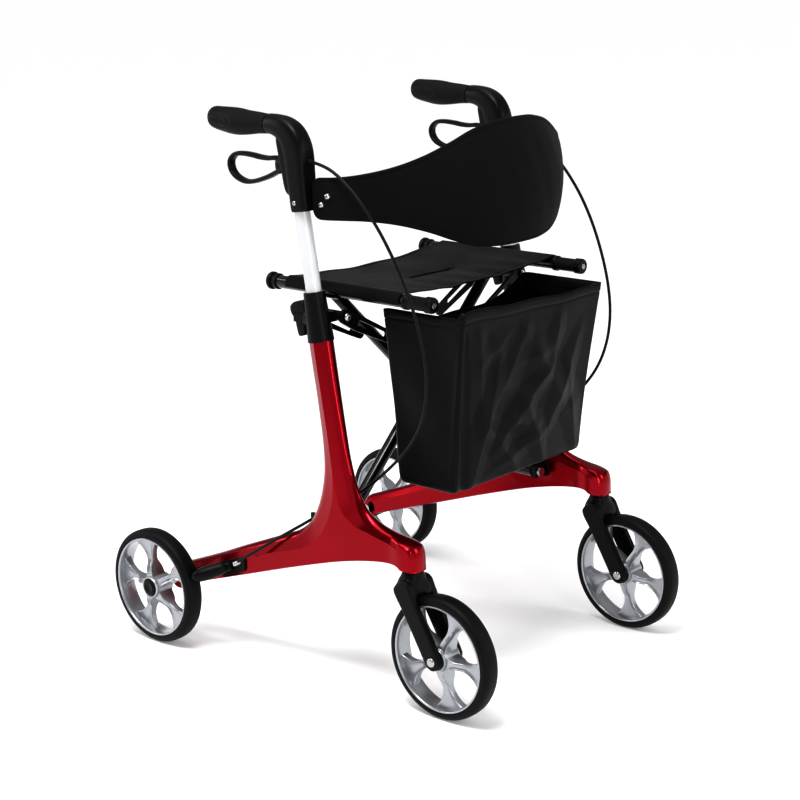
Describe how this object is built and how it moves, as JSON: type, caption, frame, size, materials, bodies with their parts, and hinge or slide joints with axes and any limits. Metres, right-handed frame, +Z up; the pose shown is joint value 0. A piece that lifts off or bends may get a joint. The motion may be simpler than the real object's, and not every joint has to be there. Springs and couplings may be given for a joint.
{
  "type": "rollator walker",
  "caption": "Folding wheeled walker with cast side frames, height-adjustable brake handles, sling seat, backrest band and front bag.",
  "frame": {"origin": "on the floor, in the middle of the length and width", "axes": "+X the way the user walks, +Y to the user's left, +Z up"},
  "size_m": [0.796, 0.655, 0.9201],
  "materials": {
    "red_metal": "candy red metallic gloss paint",
    "black_cast": "satin black powder coat",
    "black_tube": "semi-gloss black powder coat",
    "white_tube": "white satin anodised",
    "black_plastic": "satin moulded black plastic",
    "grip_rubber": "matt soft rubber",
    "steel": "zinc-plated steel",
    "tyre": "black solid tyre",
    "silver_rim": "silver metallic paint",
    "cable_sheath": "black cable sheath",
    "band_fabric": "black woven cover with bound edge",
    "seat_fabric": "black woven sling",
    "bag_fabric": "black polyester with hemmed rim"
  },
  "bodies": {
    "right_frame": {"right_side_frame": "red_metal", "right_pivot_bracket": "black_cast", "right_pivot_bolt": "steel", "right_collar": "black_plastic", "right_rear_axle": "steel", "right_brake_body": "black_plastic", "right_stem_bearings": "steel", "right_brake_cable": "cable_sheath"},
    "right_clamp": {"right_clamp_lever": "black_plastic"},
    "right_handlebar": {"right_post_tube": "white_tube", "right_handle": "black_plastic", "right_handle_screws": "steel", "right_grip": "grip_rubber", "backrest_band": "band_fabric"},
    "right_lever": {"right_brake_lever": "black_plastic"},
    "right_shoe": {"right_brake_shoe": "black_cast"},
    "right_rear_wheel": {"right_rear_tyre": "tyre", "right_rear_rim": "silver_rim", "right_rear_bearings": "steel", "right_hub_cap": "black_plastic"},
    "right_caster": {"right_caster_fork": "black_cast", "right_front_axle": "steel"},
    "right_front_wheel": {"right_front_tyre": "tyre", "right_front_rim": "silver_rim", "right_front_bearings": "steel"},
    "right_link": {"right_support_link": "black_cast"},
    "left_frame": {"left_side_frame": "red_metal", "left_pivot_bracket": "black_cast", "left_pivot_bolt": "steel", "left_collar": "black_plastic", "left_rear_axle": "steel", "left_brake_body": "black_plastic", "left_stem_bearings": "steel", "left_brake_cable": "cable_sheath"},
    "left_clamp": {"left_clamp_lever": "black_plastic"},
    "left_handlebar": {"left_post_tube": "white_tube", "left_handle": "black_plastic", "left_handle_screws": "steel", "left_grip": "grip_rubber"},
    "left_lever": {"left_brake_lever": "black_plastic"},
    "left_shoe": {"left_brake_shoe": "black_cast"},
    "left_rear_wheel": {"left_rear_tyre": "tyre", "left_rear_rim": "silver_rim", "left_rear_bearings": "steel", "left_hub_cap": "black_plastic"},
    "left_caster": {"left_caster_fork": "black_cast", "left_front_axle": "steel"},
    "left_front_wheel": {"left_front_tyre": "tyre", "left_front_rim": "silver_rim", "left_front_bearings": "steel"},
    "left_link": {"left_support_link": "black_cast"},
    "arm_a": {"cross_arm_a": "black_tube", "left_seat_rail": "black_tube", "left_rail_caps": "black_plastic", "centre_pivot_bolt": "steel"},
    "arm_b": {"cross_arm_b": "black_tube", "right_seat_rail": "black_tube", "right_rail_caps": "black_plastic", "seat_sling": "seat_fabric"},
    "bag": {"bag": "bag_fabric"}
  },
  "joints": [
    {"name": "fold", "type": "hinge", "parent": "right_frame", "child": "arm_a", "pos_m": [0.062, -0.205, 0.259], "axis": [1, 0, 0], "range_deg": [0, 31], "deforming": ["seat_sling", "backrest_band"]},
    {"name": "cross_pivot", "type": "hinge", "parent": "arm_a", "child": "arm_b", "pos_m": [0.046, 0, 0.45643], "axis": [1, 0, 0], "range_deg": [-62.5, 0.5]},
    {"name": "left_fold", "type": "hinge", "parent": "arm_b", "child": "left_frame", "pos_m": [0.062, 0.205, 0.259], "axis": [1, 0, 0], "range_deg": [-0.5, 31.5]},
    {"name": "bag_hang", "type": "hinge", "parent": "arm_b", "child": "bag", "pos_m": [0.215, -0.1875, 0.637], "axis": [1, 0, 0], "range_deg": [-0.5, 31.5]},
    {"name": "right_link_pivot", "type": "hinge", "parent": "right_frame", "child": "right_link", "pos_m": [0.047, -0.215, 0.605], "axis": [1, 0, 0], "range_deg": [-0.5, 67.15]},
    {"name": "right_height", "type": "slide", "parent": "right_frame", "child": "right_handlebar", "axis": [-0.1495, 0, 0.9888], "range_m": [-0.098, 0.03], "deforming": ["right_brake_cable"]},
    {"name": "right_clamp_hinge", "type": "hinge", "parent": "right_frame", "child": "right_clamp", "pos_m": [0.016, -0.243, 0.601], "axis": [0, 1, 0], "range_deg": [0, 70]},
    {"name": "right_lever_squeeze", "type": "hinge", "parent": "right_handlebar", "child": "right_lever", "pos_m": [-0.002, -0.243, 0.838], "axis": [0, 1, 0], "range_deg": [0, 12.5], "stiffness_Nm_per_rad": 1.5},
    {"name": "right_shoe_pivot", "type": "hinge", "parent": "right_frame", "child": "right_shoe", "pos_m": [-0.186, -0.275, 0.122], "axis": [0, -1, 0], "range_deg": [-0.2, 4.4]},
    {"name": "right_rear_wheel_spin", "type": "hinge", "parent": "right_frame", "child": "right_rear_wheel", "pos_m": [-0.298, -0.305, 0.1], "axis": [0, 1, 0], "continuous": true},
    {"name": "right_caster_swivel", "type": "hinge", "parent": "right_frame", "child": "right_caster", "pos_m": [0.237, -0.243, 0.222], "axis": [0, 0, 1], "continuous": true},
    {"name": "right_front_wheel_spin", "type": "hinge", "parent": "right_caster", "child": "right_front_wheel", "pos_m": [0.298, -0.243, 0.1], "axis": [0, 1, 0], "continuous": true},
    {"name": "left_link_pivot", "type": "hinge", "parent": "left_frame", "child": "left_link", "pos_m": [0.047, 0.215, 0.605], "axis": [1, 0, 0], "range_deg": [-67.15, 0.5]},
    {"name": "left_height", "type": "slide", "parent": "left_frame", "child": "left_handlebar", "axis": [-0.1495, 0, 0.9888], "range_m": [-0.099, 0.031], "deforming": ["left_brake_cable"]},
    {"name": "left_clamp_hinge", "type": "hinge", "parent": "left_frame", "child": "left_clamp", "pos_m": [0.016, 0.243, 0.601], "axis": [0, 1, 0], "range_deg": [0, 70]},
    {"name": "left_lever_squeeze", "type": "hinge", "parent": "left_handlebar", "child": "left_lever", "pos_m": [-0.002, 0.243, 0.838], "axis": [0, 1, 0], "range_deg": [0, 12.5], "stiffness_Nm_per_rad": 1.5},
    {"name": "left_shoe_pivot", "type": "hinge", "parent": "left_frame", "child": "left_shoe", "pos_m": [-0.186, 0.275, 0.122], "axis": [0, -1, 0], "range_deg": [-0.2, 4.4]},
    {"name": "left_rear_wheel_spin", "type": "hinge", "parent": "left_frame", "child": "left_rear_wheel", "pos_m": [-0.298, 0.305, 0.1], "axis": [0, 1, 0], "continuous": true},
    {"name": "left_caster_swivel", "type": "hinge", "parent": "left_frame", "child": "left_caster", "pos_m": [0.237, 0.243, 0.222], "axis": [0, 0, 1], "continuous": true},
    {"name": "left_front_wheel_spin", "type": "hinge", "parent": "left_caster", "child": "left_front_wheel", "pos_m": [0.298, 0.243, 0.1], "axis": [0, 1, 0], "continuous": true}
  ],
  "couplings": [
    {"joint": "cross_pivot", "follows": "fold", "ratio": -2},
    {"joint": "left_fold", "follows": "fold", "ratio": 1},
    {"joint": "bag_hang", "follows": "fold", "ratio": 1},
    {"joint": "right_link_pivot", "follows": "fold", "ratio": 2.15},
    {"joint": "right_shoe_pivot", "follows": "right_lever_squeeze", "ratio": 0.32},
    {"joint": "left_link_pivot", "follows": "fold", "ratio": -2.15},
    {"joint": "left_shoe_pivot", "follows": "left_lever_squeeze", "ratio": 0.32},
    {"joint": "left_height", "follows": "right_height", "ratio": 1}
  ]
}
